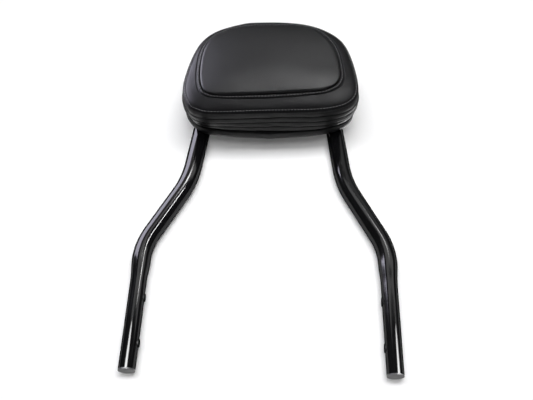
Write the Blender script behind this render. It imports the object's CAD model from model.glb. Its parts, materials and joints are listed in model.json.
import json
import math

import bpy
import numpy as np
from mathutils import Matrix, Quaternion, Vector, noise


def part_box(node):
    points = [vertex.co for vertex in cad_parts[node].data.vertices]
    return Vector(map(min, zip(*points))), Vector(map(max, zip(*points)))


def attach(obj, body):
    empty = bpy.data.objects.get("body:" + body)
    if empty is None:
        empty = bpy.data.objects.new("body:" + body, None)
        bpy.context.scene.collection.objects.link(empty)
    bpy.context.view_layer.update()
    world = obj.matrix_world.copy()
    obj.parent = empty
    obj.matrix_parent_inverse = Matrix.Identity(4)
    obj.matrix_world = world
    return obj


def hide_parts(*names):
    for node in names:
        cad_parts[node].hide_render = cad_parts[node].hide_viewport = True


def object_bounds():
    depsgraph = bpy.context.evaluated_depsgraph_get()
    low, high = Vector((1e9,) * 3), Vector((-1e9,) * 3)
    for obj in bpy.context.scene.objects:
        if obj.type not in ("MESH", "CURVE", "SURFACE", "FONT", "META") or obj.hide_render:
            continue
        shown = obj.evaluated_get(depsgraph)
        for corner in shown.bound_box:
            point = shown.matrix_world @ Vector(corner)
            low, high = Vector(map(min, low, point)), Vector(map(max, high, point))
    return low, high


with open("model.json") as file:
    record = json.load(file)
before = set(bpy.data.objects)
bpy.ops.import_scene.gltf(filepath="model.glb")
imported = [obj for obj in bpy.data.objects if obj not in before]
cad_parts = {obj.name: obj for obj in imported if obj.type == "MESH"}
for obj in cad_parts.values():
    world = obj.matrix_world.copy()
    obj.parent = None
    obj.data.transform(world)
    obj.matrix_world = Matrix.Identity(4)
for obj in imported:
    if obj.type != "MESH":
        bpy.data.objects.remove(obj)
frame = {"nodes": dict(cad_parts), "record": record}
cad_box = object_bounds()
MM = 0.001

# Shader helpers


def material(name):
    """A node material, its node tree and its Principled shader."""
    mat = bpy.data.materials.new(name)
    mat.use_nodes = True
    tree = mat.node_tree
    return mat, tree, tree.nodes["Principled BSDF"]


def node(tree, kind, **values):
    """A new node. Values name its sockets, or its own settings where it has no such socket."""
    n = tree.nodes.new("ShaderNode" + kind)
    for key, value in values.items():
        label = key.replace("_", " ")
        if label in n.inputs:
            n.inputs[label].default_value = value
        else:
            setattr(n, key, value)
    return n


def where(tree):
    """The spot on the object, in metres."""
    return node(tree, "TexCoord").outputs["Object"]


def noise_at(tree, spot, scale, detail=3.0, rough=0.55):
    n = node(tree, "TexNoise", Scale=scale, Detail=detail, Roughness=rough)
    tree.links.new(spot, n.inputs["Vector"])
    return n.outputs["Fac"]


def between(tree, value, source, target, smooth=False):
    """The value moved from the source range to the target range, and held at the ends."""
    n = node(tree, "MapRange", From_Min=source[0], From_Max=source[1], To_Min=target[0], To_Max=target[1])
    n.interpolation_type = "SMOOTHSTEP" if smooth else "LINEAR"
    tree.links.new(value, n.inputs["Value"])
    return n.outputs["Result"]


def math_node(tree, operation, a, b):
    """The result of an operation on two numbers, each a socket or a plain number."""
    n = node(tree, "Math", operation=operation)
    for k, v in ((0, a), (1, b)):
        if isinstance(v, (int, float)):
            n.inputs[k].default_value = v
        else:
            tree.links.new(v, n.inputs[k])
    return n.outputs["Value"]


def tint(tree, shader, fac, colours):
    """Colours the surface: the first colour where fac is 0, the second where it is 1."""
    ramp = node(tree, "ValToRGB")
    for stop, colour in zip(ramp.color_ramp.elements, colours):
        stop.color = (*colour, 1)
    tree.links.new(fac, ramp.inputs["Fac"])
    tree.links.new(ramp.outputs["Color"], shader.inputs["Base Color"])


def bump(tree, shader, height, distance, strength, normal=None):
    """Raises the surface's shading by height, on top of its own normal or of the one given."""
    n = node(tree, "Bump", Distance=distance, Strength=strength)
    if normal:
        tree.links.new(normal, n.inputs["Normal"])
    tree.links.new(height, n.inputs["Height"])
    tree.links.new(n.outputs["Normal"], shader.inputs["Normal"])


def soften_rim(tree, shader, level, glancing):
    """Mirrors at this level face on and fades to none over the glancing range, for the photo's dark rims."""
    facing = node(tree, "LayerWeight", Blend=0.5).outputs["Facing"]
    tree.links.new(between(tree, facing, glancing, (level, 0)), shader.inputs["Specular IOR Level"])


# Materials. Colours are linear, and each pair is the darkest and the lightest that its noise gives

PAINT_COLOURS = ((0.0028, 0.0028, 0.0031), (0.0048, 0.0048, 0.0054))
VINYL_COLOURS = ((0.0040, 0.0040, 0.0044), (0.0066, 0.0066, 0.0071))
PLY_COLOURS = ((0.36, 0.22, 0.11), (0.66, 0.48, 0.29))
FOAM_COLOURS = ((0.62, 0.55, 0.33), (0.82, 0.76, 0.56))
ZINC_COLOURS = ((0.50, 0.52, 0.56), (0.68, 0.65, 0.55))
PLASTIC_COLOURS = ((0.05, 0.05, 0.052), (0.08, 0.08, 0.082))
THREAD_COLOURS = ((0.06, 0.06, 0.061), (0.13, 0.13, 0.133))

# The swage in metres up the legs, as in the part's source, and the share of its tilt left under the paint
SWAGE_MIDDLE = 0.1185
SWAGE_HALF = 0.0125
SWAGE_TILT = 0.3


def flowed_normal(tree, spot):
    """The surface's normal, with most of the tilt of the swage's cone filled by the thick coat."""
    normal = node(tree, "SeparateXYZ")
    tree.links.new(node(tree, "NewGeometry").outputs["Normal"], normal.inputs[0])
    at = node(tree, "SeparateXYZ")
    tree.links.new(spot, at.inputs[0])
    away = math_node(tree, "ABSOLUTE", math_node(tree, "SUBTRACT", at.outputs["Z"], SWAGE_MIDDLE), 0)
    kept = between(tree, away, (SWAGE_HALF * 0.7, SWAGE_HALF * 1.4), (SWAGE_TILT, 1), smooth=True)
    joined = node(tree, "CombineXYZ")
    tree.links.new(normal.outputs["X"], joined.inputs["X"])
    tree.links.new(normal.outputs["Y"], joined.inputs["Y"])
    tree.links.new(math_node(tree, "MULTIPLY", normal.outputs["Z"], kept), joined.inputs["Z"])
    unit = node(tree, "VectorMath", operation="NORMALIZE")
    tree.links.new(joined.outputs[0], unit.inputs[0])
    return unit.outputs["Vector"]


def paint_material(name, gloss, rough):
    """Black powder coat with a faint orange peel and duller smears from handling."""
    mat, tree, shader = material(name)
    spot = where(tree)
    shader.inputs["IOR"].default_value = 1.5
    soften_rim(tree, shader, gloss, glancing=(0.12, 0.62))
    smear = noise_at(tree, spot, scale=28, detail=5)
    tree.links.new(between(tree, smear, (0.35, 0.75), rough), shader.inputs["Roughness"])
    tint(tree, shader, noise_at(tree, spot, scale=60, detail=4), PAINT_COLOURS)
    peel = noise_at(tree, spot, scale=420, detail=2, rough=0.5)
    bump(tree, shader, peel, distance=0.00004, strength=0.35, normal=flowed_normal(tree, spot))
    return mat


def vinyl_pebble(tree, spot):
    """The raised cells of the vinyl's grain, 0 in the valleys and 1 on top, with wandering outlines."""
    warp = node(tree, "TexNoise", Scale=160.0, Detail=2.0)
    tree.links.new(spot, warp.inputs["Vector"])
    lean = node(tree, "VectorMath", operation="SCALE", Scale=0.0022)
    tree.links.new(warp.outputs["Color"], lean.inputs[0])
    moved = node(tree, "VectorMath", operation="ADD")
    tree.links.new(spot, moved.inputs[0])
    tree.links.new(lean.outputs["Vector"], moved.inputs[1])
    cells = node(tree, "TexVoronoi", feature="DISTANCE_TO_EDGE", Scale=620.0)
    tree.links.new(moved.outputs["Vector"], cells.inputs["Vector"])
    return between(tree, cells.outputs["Distance"], (0, 0.28), (0, 1), smooth=True)


def vinyl_material(name, gloss):
    """Black upholstery vinyl with a pebbled grain, satin, a little duller in its valleys."""
    mat, tree, shader = material(name)
    spot = where(tree)
    pebble = vinyl_pebble(tree, spot)
    fine = noise_at(tree, spot, scale=2600, detail=2)
    height = math_node(tree, "ADD", pebble, math_node(tree, "MULTIPLY", fine, 0.35))
    bump(tree, shader, height, distance=0.00007, strength=0.55)
    patches = noise_at(tree, spot, scale=22, detail=4)
    worn = between(tree, patches, (0.3, 0.7), (0.29, 0.36))
    valleys = between(tree, pebble, (0, 1), (0.09, 0))
    tree.links.new(math_node(tree, "ADD", worn, valleys), shader.inputs["Roughness"])
    tone = math_node(tree, "MULTIPLY", math_node(tree, "ADD", pebble, patches), 0.5)
    tint(tree, shader, tone, VINYL_COLOURS)
    soften_rim(tree, shader, gloss, glancing=(0.4, 0.85))
    return mat


def plywood_material():
    """Birch plywood: thin plies across the thickness, with grain along the face."""
    mat, tree, shader = material("plywood")
    spot = where(tree)
    plies = node(tree, "TexWave", wave_type="BANDS", bands_direction="Y", Scale=110.0, Distortion=0.4)
    tree.links.new(spot, plies.inputs["Vector"])
    stretch = node(tree, "Mapping")
    stretch.inputs["Scale"].default_value = (14, 220, 220)
    tree.links.new(spot, stretch.inputs["Vector"])
    grain = noise_at(tree, stretch.outputs["Vector"], scale=1.0, detail=6, rough=0.6)
    tone = math_node(tree, "MULTIPLY", math_node(tree, "ADD", plies.outputs["Fac"], grain), 0.5)
    tint(tree, shader, tone, PLY_COLOURS)
    shader.inputs["Roughness"].default_value = 0.72
    bump(tree, shader, grain, distance=0.0002, strength=0.5)
    return mat


def foam_material():
    """Open foam, its cells shown by colour and by bumps."""
    mat, tree, shader = material("foam")
    spot = where(tree)
    cells = node(tree, "TexVoronoi", Scale=900.0)
    tree.links.new(spot, cells.inputs["Vector"])
    mottled = math_node(tree, "ADD", cells.outputs["Distance"], noise_at(tree, spot, scale=40))
    tint(tree, shader, math_node(tree, "MULTIPLY", mottled, 0.6), FOAM_COLOURS)
    shader.inputs["Roughness"].default_value = 0.95
    bump(tree, shader, cells.outputs["Distance"], distance=0.0004, strength=0.8)
    return mat


def zinc_material(name):
    """Zinc plating with a faint yellow to blue cast and fine turning marks."""
    mat, tree, shader = material(name)
    spot = where(tree)
    shader.inputs["Metallic"].default_value = 1.0
    tint(tree, shader, noise_at(tree, spot, scale=130, detail=3), ZINC_COLOURS)
    turned = node(tree, "TexWave", wave_type="RINGS", rings_direction="Y", Scale=700.0, Distortion=2.0)
    tree.links.new(spot, turned.inputs["Vector"])
    handled = noise_at(tree, spot, scale=300, detail=4)
    tree.links.new(between(tree, handled, (0.3, 0.7), (0.2, 0.42)), shader.inputs["Roughness"])
    bump(tree, shader, turned.outputs["Fac"], distance=0.00003, strength=0.3)
    return mat


def plastic_material():
    """Black moulded plastic with a fine spark-eroded texture."""
    mat, tree, shader = material("black_plastic")
    spot = where(tree)
    tone = noise_at(tree, spot, scale=90, detail=4)
    tint(tree, shader, tone, PLASTIC_COLOURS)
    tree.links.new(between(tree, tone, (0.3, 0.7), (0.34, 0.5)), shader.inputs["Roughness"])
    bump(tree, shader, noise_at(tree, spot, scale=2500, detail=3), distance=0.00006, strength=0.5)
    return mat


def thread_material():
    """Twisted black polyester thread."""
    mat, tree, shader = material("thread")
    twist = node(tree, "TexWave", bands_direction="DIAGONAL", Scale=900.0, Distortion=0.5)
    tree.links.new(where(tree), twist.inputs["Vector"])
    tint(tree, shader, twist.outputs["Fac"], THREAD_COLOURS)
    shader.inputs["Roughness"].default_value = 0.42
    shader.inputs["Sheen Weight"].default_value = 0.3
    bump(tree, shader, twist.outputs["Fac"], distance=0.0001, strength=0.7)
    return mat


BUNG_PAINT = paint_material("bung_paint", gloss=0.2, rough=(0.5, 0.6))
VINYL = vinyl_material("black_vinyl", gloss=0.34)
DULL_VINYL = vinyl_material("dull_vinyl", gloss=0.19)
PLYWOOD = plywood_material()
FOAM = foam_material()
THREAD = thread_material()
BY_SLOT = {
    "black_gloss_paint": paint_material("black_gloss_paint", gloss=0.5, rough=(0.075, 0.17)),
    "black_plastic": plastic_material(),
    "black_vinyl": VINYL,
    "plywood": PLYWOOD,
    "foam": FOAM,
    "zinc_steel": zinc_material("zinc_steel"),
    "bright_steel": zinc_material("bright_steel"),
}


def dress_nodes():
    """Gives every CAD node the material of its slot, and the bungs their duller paint."""
    for part in frame["record"]["subparts"]:
        obj = frame["nodes"][part["node"]]
        mat = BUNG_PAINT if part["node"].endswith("_bung") else BY_SLOT[part["material_slot"]]
        for slot in obj.material_slots:
            slot.link = "OBJECT"
            slot.material = mat
        if not obj.material_slots:
            obj.data.materials.append(mat)


dress_nodes()

# The pad's depths in millimetres, from the tube's centre plane towards -Y. Most come from the frame


def depths(name):
    """Where a CAD node starts and ends, going from the tube's centre plane towards -Y."""
    low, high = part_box(name)
    return -high.y / MM, -low.y / MM


BACK_H, CUSHION_H = depths("back_panel_cover")
BOARD_H = depths("base_board")
SEAM_H = depths("side_band")[1]
PANEL_H = depths("center_panel")[0]
PANEL_EDGE = 2.2
CROWN = 5.0

# Outlines in millimetres: (x, z) seen from the pad's side, bottom first, round by the right. The cushion
# was screwed on a little turned, so they aren't quite symmetrical

SEAM_POINTS = [
    (-9, 299), (71, 303.5), (105.5, 319), (110.5, 352.5), (97.5, 408), (72, 433.5), (33, 446), (-15, 447),
    (-38, 443.5), (-74.5, 427), (-93.5, 398), (-104.5, 342), (-97, 310.5), (-85.5, 301), (-66, 297),
]
PANEL_POINTS = [
    (-10.5, 320.5), (55, 325.5), (72, 329.5), (83.5, 337), (89, 348.5), (89, 362), (84, 392.5), (70, 418),
    (45.5, 433), (-13, 434.5), (-50.5, 427), (-74.5, 409.5), (-83.5, 381.5), (-82, 337), (-66, 319.5),
]
FOOT_POINTS = [
    (-10, 301), (38, 301.5), (80, 309), (104, 324), (111, 350), (103.5, 391.5), (86, 422.5), (67, 436),
    (40, 446), (3, 449), (-34, 445), (-62, 436), (-82, 421), (-93.5, 404), (-104, 368), (-104.5, 334),
    (-88, 311.5), (-57, 303),
]
BACK_POINTS = [
    (-10, 298.5), (10, 298.5), (71.5, 305.5), (105, 322.5), (109.5, 354), (101.5, 396), (92.5, 414),
    (77, 430), (58, 440.5), (30, 446.5), (-28, 446), (-75, 428), (-98.5, 392), (-107, 354), (-102.5, 324),
    (-76, 303.5),
]
COUNT = 560
MIDDLE = np.array([2.5, 374.0])
SPAN_STEPS = 40
SMOOTHINGS = 60


def follow(line):
    """A function that gives the point at any distance along a closed line, and the line's length."""
    ends = np.vstack([line, line[:1]])
    steps = np.linalg.norm(np.diff(ends, axis=0), axis=1)
    along = np.append(0, np.cumsum(steps))
    whole = along[-1]

    def point(distance):
        return np.array([np.interp(distance % whole, along, column) for column in ends.T])

    return point, whole


def closed_curve(points, count=4000):
    """A smooth closed curve through points, as count points evenly spread along it."""
    p = np.array(points, float)
    t = np.arange(SPAN_STEPS)[:, None] / SPAN_STEPS
    spans = []
    for i in range(len(p)):
        a, b, c, d = (p[(i + k) % len(p)] for k in (-1, 0, 1, 2))
        spans.append(0.5 * (2 * b + (c - a) * t + (2 * a - 5 * b + 4 * c - d) * t ** 2
                            + (3 * b - 3 * c + d - a) * t ** 3))
    line = np.concatenate(spans)
    for _ in range(SMOOTHINGS):
        line = (np.roll(line, 1, axis=0) + 2 * line + np.roll(line, -1, axis=0)) / 4
    point, whole = follow(line)
    return point(np.arange(count) / count * whole).T


def directions(points):
    """Each point's direction from the pad's middle, as an angle."""
    x, z = (points - MIDDLE).T
    return np.arctan2(z, x)


def at_directions(curve, angles):
    """The curve's points in these directions from the pad's middle."""
    w = np.unwrap(directions(curve))
    order = np.argsort(w)
    columns = [np.interp(angles, w[order], column[order], period=2 * math.pi) for column in curve.T]
    return np.stack(columns, axis=1)


class Outline:
    """A closed line round the pad. All outlines have COUNT points, in the same directions from MIDDLE."""

    def __init__(self, points):
        t = np.roll(points, -1, axis=0) - np.roll(points, 1, axis=0)
        t /= np.linalg.norm(t, axis=1)[:, None]
        self.points = points
        self.outward = np.stack([t[:, 1], -t[:, 0]], axis=1)

    def moved(self, distance):
        """Its points moved outward, all by one distance or each by its own."""
        return self.points + self.outward * np.reshape(distance, (-1, 1))

    def shrunk(self, share):
        """Its points at a share of their way from the middle."""
        return MIDDLE + (self.points - MIDDLE) * share

    def towards(self, other, share):
        """Its points moved towards those of another outline by a share of the way."""
        return self.points * (1 - share) + other.points * share


SEAM = Outline(closed_curve(SEAM_POINTS, COUNT))
ANGLES = directions(SEAM.points)
PANEL = Outline(at_directions(closed_curve(PANEL_POINTS), ANGLES))
FOOT = Outline(at_directions(closed_curve(FOOT_POINTS), ANGLES))
BACK = Outline(at_directions(closed_curve(BACK_POINTS), ANGLES))

# What the pad's pieces are made with


def place(points, height):
    """Points of an outline, in millimetres, put at a height in the row frame, in metres."""
    return np.stack([points[:, 0], -np.broadcast_to(height, len(points)), points[:, 1]], axis=1) * MM


def ripple(points, size, seed):
    """Smooth noise from about -1 to 1 at points in millimetres, with features of the given size."""
    return np.array([noise.noise(Vector((x / size, z / size, seed))) for x, z in points]) * 2


def ramp(values, start, end):
    """0 at the start, 1 at the end, straight between them and held beyond."""
    return np.clip((values - start) / (end - start), 0, 1)


def bell(distance, width, power=2):
    """1 at no distance, and nearly 0 from about twice the width on."""
    return np.exp(-((distance / width) ** power))


def mesh_piece(name, verts, faces, mat):
    """A smooth mesh that rides on the part's one body."""
    mesh = bpy.data.meshes.new(name)
    mesh.from_pydata([tuple(map(float, v)) for v in verts], [], faces)
    mesh.validate()
    mesh.shade_smooth()
    obj = bpy.data.objects.new(name, mesh)
    bpy.context.scene.collection.objects.link(obj)
    obj.data.materials.append(mat)
    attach(obj, "root")
    return obj


def ring_faces(count, rings):
    """The faces between closed rings of count points, each ring joined to the next."""
    faces = []
    for first in range(0, (rings - 1) * count, count):
        for i in range(count):
            j = (i + 1) % count
            faces.append((first + i, first + j, first + count + j, first + count + i))
    return faces


def skin(name, rings, mat, cap=False, floor=False):
    """A surface through closed rings of points. A cap closes the last ring, and a floor the first."""
    count = len(rings[0])
    verts = np.concatenate(rings)
    faces = ring_faces(count, len(rings))
    for wanted, ring, first in ((cap, rings[-1], (len(rings) - 1) * count), (floor, rings[0], 0)):
        if not wanted:
            continue
        verts = np.concatenate([verts, ring.mean(axis=0)[None]])
        for i in range(count):
            a, b = first + i, first + (i + 1) % count
            faces.append((a, b, len(verts) - 1) if first else (b, a, len(verts) - 1))
    return mesh_piece(name, verts, faces, mat)


# The side band, with soft folds between its creases. Places along its height are shares of it, from
# the foot to the outer seam. Depths and sizes are in millimetres

FOLDS_START = 0.04
CREASES = (0.26, 0.50, 0.74)
CREASE_DEPTHS = (0.55, 0.6, 0.6)
CREASE_WIDTHS = (0.010, 0.009, 0.010)
FOLD_SIZES = (0.9, 1.0, 1.1, 0.8)
BELLY = 2.2
LOW_BELLY = 3.0
CALM_TOP = 0.45
BAND_ROWS = 84
BAND_START = 0.03
BAND_END = 0.995
SWELL_HEIGHT = 0.35

# Wrinkles: their places and width are shares of their own fold's height
WRINKLES = (0.34, 0.68)
WRINKLE_WIDTH = 0.05
WRINKLE_DEPTH = 0.28

# The band's hem, turned in below the cushion: (inward from the foot, height above the back panel)
BAND_HEM = ((26, 0.0), (12, 0.0), (4, 0.1), (1.4, 0.5))

# Where the pad's sides, its foot and its top are, from 0 to 1 round the seam
PAD_HALF_WIDTH = 105
SIDE = ramp(np.abs(SEAM.points[:, 0] - MIDDLE[0]), 0, PAD_HALF_WIDTH) ** 2
LOW = ramp(SEAM.points[:, 1], start=345, end=300)
TOP = ramp(SEAM.points[:, 1], start=395, end=435)


def wander(v):
    """Share v of the band's height, pushed up and down a little so that the folds don't run level."""
    push = 0.020 * ripple(SEAM.points, size=34, seed=3.1) + 0.014 * ripple(SEAM.points, size=13, seed=5.7)
    return v + math.sin(math.pi * v) * push


def folds(w):
    """How far the folds stand out, with the finer wrinkles that come and go along them, and the creases."""
    marks = (FOLDS_START, *CREASES, 1.0)
    out = np.zeros(COUNT)
    for start, end, size in zip(marks, marks[1:], FOLD_SIZES):
        t = ramp(w, start, end)
        out += size * np.sin(math.pi * t) ** 0.5
        for k, at in enumerate(WRINKLES):
            here = np.clip(ripple(SEAM.points, size=24, seed=11.3 + start * 9 + k * 5) * 1.6, 0, 1)
            out -= WRINKLE_DEPTH * here * bell(t - at, WRINKLE_WIDTH)
    for at, deep, wide in zip(CREASES, CREASE_DEPTHS, CREASE_WIDTHS):
        out -= deep * bell(w - at, wide)
    return out


def band_out(v):
    """How far the side band stands out at share v of its height, all round."""
    out = folds(wander(v)) * (1 - CALM_TOP * TOP)
    out += (BELLY + LOW_BELLY * LOW) * SIDE * math.sin(math.pi * min(1, v * 1.05)) ** 0.7
    out += SWELL_HEIGHT * ripple(SEAM.points + np.array([0, v * 60]), size=17, seed=8.3 + v * 2)
    return out


def build_band():
    rings = [place(FOOT.moved(-inward), CUSHION_H + rise) for inward, rise in BAND_HEM]
    for v in np.linspace(BAND_START, BAND_END, BAND_ROWS + 1):
        line = FOOT.towards(SEAM, v) + SEAM.outward * band_out(v)[:, None]
        rings.append(place(line, CUSHION_H + v * (SEAM_H - CUSHION_H)))
    rings.append(place(SEAM.moved(-2), SEAM_H + 0.1))
    obj = skin("pad_side_band", rings, DULL_VINYL)
    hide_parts("side_band")


# The sloped border between the outer and the inner seam, in millimetres

BORDER_W = np.linalg.norm(SEAM.points - PANEL.points, axis=1)
BORDER_BULGE = 2.4
BORDER_ROWS = 64
HEM = 4.6
HEM_STEP = 0.55
HEM_STEP_WIDTH = 0.28

# The border's lip, folded over the band: (outward from the seam, height above it)
LIP = ((-2.2, -1.5), (-0.2, -1.45), (0.8, -1.05), (1.15, -0.3), (0.9, 0.35), (0.3, 0.75))

# Its inner edge, which runs on under the centre panel: (outward from the inner seam, height above it)
TUCK = ((-1, -1.8), (-6, -2.1))


def border_height(t):
    """The border's plain height at share t of the way in."""
    return SEAM_H + (PANEL_H - SEAM_H) * t + BORDER_BULGE * math.sin(math.pi * math.sqrt(t))


def inner_hem(to_panel):
    """The doubled hem along the inner seam: its step, the crease at its outer edge, the dip at the seam."""
    past = to_panel - np.minimum(HEM, BORDER_W * 0.42)
    step = HEM_STEP / (1 + np.exp(past / HEM_STEP_WIDTH))
    return step - 0.75 * bell(past - 0.7, width=0.75) - 1.9 * bell(to_panel, width=0.85)


def outer_hem(to_seam):
    """The same along the outer seam, fainter."""
    return 0.3 * bell(to_seam, width=2.2, power=4) - 0.45 * bell(to_seam - 3.0, width=0.6)


def border_point(t):
    """The border at share t of the way in, all round: its points and their heights."""
    base = SEAM.towards(PANEL, t)
    to_panel = BORDER_W * (1 - t)
    puckers = 0.2 * ripple(base, size=5, seed=2.2) * bell(to_panel - 3, width=3)
    waves = 0.3 * ripple(base, size=31, seed=9.4) * math.sin(math.pi * t)
    return base, border_height(t) + inner_hem(to_panel) + outer_hem(BORDER_W * t) + puckers + waves


def build_border():
    rings = [place(SEAM.moved(out), SEAM_H + rise) for out, rise in LIP]
    for k in range(1, BORDER_ROWS + 1):
        rings.append(place(*border_point(k / BORDER_ROWS)))
    rings += [place(PANEL.moved(out), PANEL_H + rise) for out, rise in TUCK]
    obj = skin("pad_border", rings, DULL_VINYL)
    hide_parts("border_panel")


# The two rows of stitches, each a few millimetres from its seam. A stitch is a short thread through five
# rings: each ring's place along the stitch from its middle, as a share of the length, and its height and
# radius, as shares of the thread's radius

INNER_ROW = 2.9
OUTER_ROW = 1.7
STITCH_PITCH = 3.9
STITCH_LENGTH = 2.7
THREAD_R = 0.42
THREAD_SIDES = 6
STITCH_RINGS = ((-0.5, -0.5, 0.3), (-0.36, 0.12, 0.85), (0, 0.25, 1), (0.36, 0.12, 0.85), (0.5, -0.5, 0.3))
UP = np.array([0, 0, 1.0])
BORDER_STEPS = 400


def stitch_line(share):
    """The line of a row at share of the way in, one for each point: x and z, then the border's height."""
    grid = [border_point(t) for t in np.linspace(0, 1, BORDER_STEPS + 1)]
    at = np.clip((share * BORDER_STEPS).round().astype(int), 0, BORDER_STEPS)
    line = np.array([[*grid[at[i]][0][i], grid[at[i]][1][i]] for i in range(COUNT)])
    line[:, 2] = (np.roll(line[:, 2], 2) + line[:, 2] + np.roll(line[:, 2], -2)) / 3
    return line


def stitch_ring(point, middle, along, rise, radius):
    """One ring of the stitch whose middle is at this distance along the row."""
    distance = middle + along * STITCH_LENGTH
    start = point(distance)
    ahead = point(distance + 0.5) - start
    side = np.cross(ahead / np.linalg.norm(ahead), UP)
    side /= np.linalg.norm(side)
    turns = np.arange(THREAD_SIDES) / THREAD_SIDES * 2 * math.pi
    spokes = [side * math.cos(w) + UP * math.sin(w) for w in turns]
    ring = [start + THREAD_R * (UP * rise + radius * spoke) for spoke in spokes]
    return [np.array([x, -height, z]) * MM for x, z, height in ring]


def build_stitches(name, share):
    """A row of stitches on the border, at share of the way in."""
    point, whole = follow(stitch_line(share))
    count = round(whole / STITCH_PITCH)
    last_ring = (len(STITCH_RINGS) - 1) * THREAD_SIDES
    verts, faces = [], []
    for n in range(count):
        first = len(verts)
        for along, rise, radius in STITCH_RINGS:
            verts += stitch_ring(point, n / count * whole, along, rise, radius)
        faces += [tuple(first + i for i in face) for face in ring_faces(THREAD_SIDES, len(STITCH_RINGS))]
        faces.append(tuple(first + i for i in reversed(range(THREAD_SIDES))))
        faces.append(tuple(first + last_ring + i for i in range(THREAD_SIDES)))
    mesh_piece(name, verts, faces, THREAD)


# The centre panel. Its edge is rolled over the inner seam: (outward from the seam, height above it)

PANEL_ROLL = ((-3.0, -1.7), (-1.4, -1.5), (-0.3, -0.7), (0.1, 0.1), (0.15, 0.8), (-0.1, 1.4), (-0.6, 1.85),
              (-1.3, 2.2))
PANEL_ROWS = 60

# About where the dome's outermost and innermost rings lie, as shares of the way out from the middle,
# and how much the rings crowd towards the middle
DOME_OUTER = 0.977
DOME_INNER = 0.004
DOME_CROWDING = 1.15


def crown_height(left):
    """The crown's height at a share of the way from the pad's middle to the inner seam."""
    return PANEL_H + PANEL_EDGE + CROWN * (1 - left ** 2.4)


def build_panel():
    rings = [place(PANEL.moved(out), PANEL_H + rise) for out, rise in PANEL_ROLL]
    for k in range(1, PANEL_ROWS + 1):
        left = DOME_OUTER * (1 - k / PANEL_ROWS) ** DOME_CROWDING + DOME_INNER
        base = PANEL.shrunk(left)
        edge = np.linalg.norm(PANEL.points - base, axis=1)
        puckers = 0.16 * ripple(base, size=6, seed=4.4) * bell(edge, width=5)
        waves = 0.25 * ripple(base, size=38, seed=7.7)
        rings.append(place(base, crown_height(left) + puckers + waves))
    obj = skin("pad_center_panel", rings, VINYL, cap=True)
    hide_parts("center_panel")


# The back panel, in millimetres

BACK_EDGE_R = 4.4
BACK_HEM = 24
QUARTER_TURN = np.radians(np.linspace(0, 90, 9))


def build_back():
    """The back panel: vinyl drawn round a board, with soft edges."""
    r = BACK_EDGE_R
    rings = [place(BACK.shrunk(share), BACK_H) for share in (0.04, 0.25, 0.5, 0.75, 0.9)]
    for w in QUARTER_TURN:
        rings.append(place(BACK.moved(r * math.sin(w) - r), BACK_H + r * (1 - math.cos(w))))
    wave = 0.45 * ripple(BACK.points, size=28, seed=6.1) + 0.5
    for v in np.linspace(0, 1, 9)[1:-1]:
        height = BACK_H + r + (CUSHION_H - BACK_H - 2 * r) * v
        rings.append(place(BACK.moved(wave * math.sin(math.pi * v)), height))
    for w in QUARTER_TURN:
        rings.append(place(BACK.moved(r * math.cos(w) - r), CUSHION_H - r * (1 - math.sin(w))))
    rings.append(place(BACK.moved(-BACK_HEM), CUSHION_H))
    obj = skin("pad_back_cover", rings, DULL_VINYL, floor=True)
    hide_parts("back_panel_cover")


# Foam and boards, which lie as the cushion does. The covers hide them. Gaps are in millimetres

INSET = 3
UNDER_SEAM = 2
UNDER_BORDER = 2.6
UNDER_TUCK = 1.6
UNDER_CROWN = 2.4
BROKEN_EDGE = 0.4


def build_foam():
    rings = [place(FOOT.moved(-INSET), BOARD_H[1]), place(SEAM.moved(-INSET), SEAM_H - UNDER_SEAM)]
    for t in (0.2, 0.4, 0.65, 0.85, 1.0):
        line = SEAM.towards(PANEL, t) - SEAM.outward * (1 - t) * UNDER_SEAM
        rings.append(place(line, border_height(t) - UNDER_BORDER - UNDER_TUCK * t ** 3))
    rings.append(place(PANEL.shrunk(0.93), PANEL_H - INSET))
    for left in (0.85, 0.7, 0.5, 0.3, 0.15):
        rings.append(place(PANEL.shrunk(left), crown_height(left) - UNDER_CROWN))
    obj = skin("pad_foam", rings, FOAM, cap=True, floor=True)
    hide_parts("foam_core")


def build_board(name, outline, low, high, cad_node):
    """A board just inside an outline, with its edges broken."""
    face, edge = outline.moved(-INSET), outline.moved(BROKEN_EDGE - INSET)
    rings = [place(face, low), place(edge, low + BROKEN_EDGE)]
    rings += [place(edge, high - BROKEN_EDGE), place(face, high)]
    obj = skin(name, rings, PLYWOOD, cap=True, floor=True)
    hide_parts(cad_node)


build_band()
build_border()
build_panel()
build_back()
build_foam()
build_board("pad_base_board", FOOT, *BOARD_H, "base_board")
build_board("pad_back_board", BACK, BACK_H + 1, CUSHION_H - 1, "back_panel_board")
build_stitches("pad_inner_stitches", 1 - INNER_ROW / BORDER_W)
build_stitches("pad_outer_stitches", OUTER_ROW / BORDER_W)

# The camera, solved from the photograph's own perspective: metres, degrees and pixels

CAMERA_AT = (0.0272, -0.71236, -0.20471)
CAMERA_TURNS = (("Y", -3.6), ("X", 90 + 30.61), ("Z", -2.32))
FOCAL_PIXELS = 672
PHOTO_WIDTH = 533
SENSOR_WIDTH_MM = 36.0


def add_camera():
    data = bpy.data.cameras.new("camera")
    data.sensor_width = SENSOR_WIDTH_MM
    data.lens = FOCAL_PIXELS / PHOTO_WIDTH * SENSOR_WIDTH_MM
    data.clip_start = 0.01
    data.clip_end = 50
    cam = bpy.data.objects.new("camera", data)
    bpy.context.scene.collection.objects.link(cam)
    pose = Matrix.Translation(CAMERA_AT)
    for axis, degrees in CAMERA_TURNS:
        pose = pose @ Matrix.Rotation(math.radians(degrees), 4, axis)
    cam.matrix_world = pose
    bpy.context.scene.camera = cam


# The pale ground against the tube's back, in metres. It is seen from its front only

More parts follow.
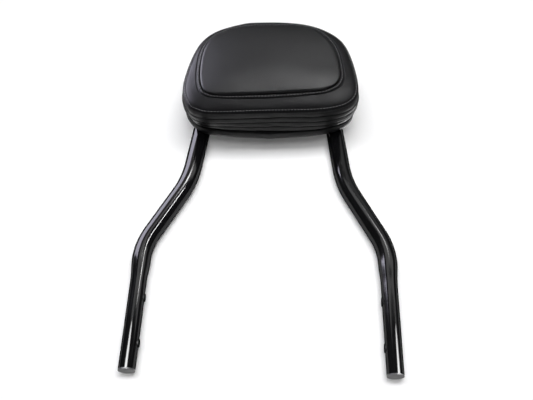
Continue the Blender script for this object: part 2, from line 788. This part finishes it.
GROUND_GAP = 0.00018
GROUND_HALF_WIDTH = 1.0
GROUND_LOW = -0.6
GROUND_HIGH = 0.95
GROUND_WHITE = 0.93
GROUND_GLOW = 0.09
STEEP = 0.8


def see_through(tree, path):
    """1 behind the ground, and for the steep rays by which the lamps behind it reach the object's back."""
    geometry = node(tree, "NewGeometry")
    slope = node(tree, "VectorMath", operation="DOT_PRODUCT")
    tree.links.new(geometry.outputs["Incoming"], slope.inputs[0])
    tree.links.new(geometry.outputs["Normal"], slope.inputs[1])
    steep = math_node(tree, "GREATER_THAN", slope.outputs["Value"], STEEP)
    unseen = math_node(tree, "SUBTRACT", steep, path.outputs["Is Camera Ray"])
    return math_node(tree, "MAXIMUM", geometry.outputs["Backfacing"], unseen)


def ground_material():
    """Matt white, a little brighter to the camera alone, and clear where see_through says so."""
    mat, tree, shader = material("ground")
    shader.inputs["Base Color"].default_value = (GROUND_WHITE, GROUND_WHITE, GROUND_WHITE, 1)
    shader.inputs["Roughness"].default_value = 0.9
    shader.inputs["Specular IOR Level"].default_value = 0.0
    shader.inputs["Emission Color"].default_value = (1, 1, 1, 1)
    path = node(tree, "LightPath")
    glow = between(tree, path.outputs["Is Camera Ray"], (0, 1), (0, GROUND_GLOW))
    tree.links.new(glow, shader.inputs["Emission Strength"])
    mix = node(tree, "MixShader")
    tree.links.new(see_through(tree, path), mix.inputs[0])
    tree.links.new(shader.outputs["BSDF"], mix.inputs[1])
    tree.links.new(node(tree, "BsdfTransparent").outputs["BSDF"], mix.inputs[2])
    tree.links.new(mix.outputs["Shader"], tree.nodes["Material Output"].inputs["Surface"])
    return mat


def add_ground():
    mesh = bpy.data.meshes.new("ground")
    w = GROUND_HALF_WIDTH
    y = cad_box[1][1] + GROUND_GAP
    corners = [(-w, y, GROUND_LOW), (w, y, GROUND_LOW), (w, y, GROUND_HIGH), (-w, y, GROUND_HIGH)]
    mesh.from_pydata(corners, [], [(0, 1, 2, 3)])
    obj = bpy.data.objects.new("ground", mesh)
    bpy.context.scene.collection.objects.link(obj)
    mesh.materials.append(ground_material())


# World and lamps. Places and sizes are in metres, powers in watts, spreads and turns in degrees

OBJECT_MIDDLE = (0, 0, 0.3)
COOL = (0.97, 0.97, 1)
LILAC = (0.86, 0.84, 1)


def add_world(room, backdrop, behind):
    """A dim room with a pale backdrop for the camera, which the object's back mirrors more faintly."""
    world = bpy.data.worlds.new("studio")
    bpy.context.scene.world = world
    world.use_nodes = True
    tree = world.node_tree
    path = node(tree, "LightPath")
    seen = between(tree, path.outputs["Is Camera Ray"], (0, 1), (0, backdrop))
    ray = node(tree, "SeparateXYZ")
    tree.links.new(node(tree, "TexCoord").outputs["Generated"], ray.inputs[0])
    backward = between(tree, ray.outputs["Y"], (0.2, 0.9), (0, behind), smooth=True)
    mirrored = math_node(tree, "MULTIPLY", path.outputs["Is Glossy Ray"], backward)
    strength = math_node(tree, "ADD", math_node(tree, "ADD", seen, mirrored), room)
    tree.links.new(strength, tree.nodes["Background"].inputs["Strength"])
    tree.nodes["Background"].inputs["Color"].default_value = (1, 1, 1, 1)


def add_light(name, at, target, size, power, seen="both", colour=(1, 1, 1), shape="RECTANGLE",
              spread=180, turn=0):
    """An area light. Seen as "shine", it only shows in glossy faces, and seen as "fill", it only lights."""
    data = bpy.data.lights.new(name, "AREA")
    data.shape = shape
    data.size, data.size_y = size
    data.energy = power
    data.color = colour
    data.spread = math.radians(spread)
    obj = bpy.data.objects.new(name, data)
    bpy.context.scene.collection.objects.link(obj)
    obj.location = at
    aim = (Vector(target) - Vector(at)).to_track_quat("-Z", "Y")
    obj.rotation_euler = (aim @ Quaternion((0, 0, 1), math.radians(turn))).to_euler()
    obj.visible_camera = False
    obj.visible_diffuse = seen != "shine"
    obj.visible_glossy = seen != "fill"


def add_leg_strips():
    """Lamps for the bright streak up each leg from its cut end."""
    for side, x, y, centre in (("left", -0.151, -0.149, -0.143), ("right", 0.235, -0.115, 0.143)):
        add_light(side + " strip", (x, y, 0.008), (centre, 0, 0.008), (0.09, 0.19), 0.18, seen="shine",
                  shape="ELLIPSE", spread=50)


add_camera()
add_ground()
add_world(room=0.04, backdrop=0.96, behind=0.7)
add_light("key right", (0.42, -1.83, 0.45), OBJECT_MIDDLE, (1.0, 0.6), 20.5, seen="fill")
add_light("key left", (-0.5, -1.83, 0.40), OBJECT_MIDDLE, (1.0, 0.6), 14.5, seen="fill", colour=COOL)
add_light("front", (0, -1.9, -0.4), OBJECT_MIDDLE, (1.2, 0.6), 9, seen="fill")
add_light("ceiling", (0.15, -1.1, 1.50), (0, 0, 0.25), (2.4, 0.9), 4, seen="shine")
add_light("glow", (0.45, -1.4, 0.87), (0, 0, 0.15), (2.6, 0.34), 4, seen="shine")
add_light("pad glow", (0.27, -1.2, 0.88), (0.02, 0, 0.46), (0.6, 0.25), 0.38, seen="shine", spread=22)
add_light("window", (-1.3, -0.4, 1.30), OBJECT_MIDDLE, (1.8, 1.0), 60, seen="shine", colour=LILAC)
add_leg_strips()
add_light("bend strip", (0.012, -0.232, 0.2295), (-0.119, 0, 0.169), (0.013, 0.098), 0.011, seen="shine",
          spread=34, turn=-27)
add_light("back right", (0.75, 1.5, 0.95), OBJECT_MIDDLE, (0.5, 1.1), 16)
add_light("back left", (-0.65, 1.6, 0.75), OBJECT_MIDDLE, (0.7, 0.9), 9)

bpy.context.scene.view_settings.view_transform = "Standard"
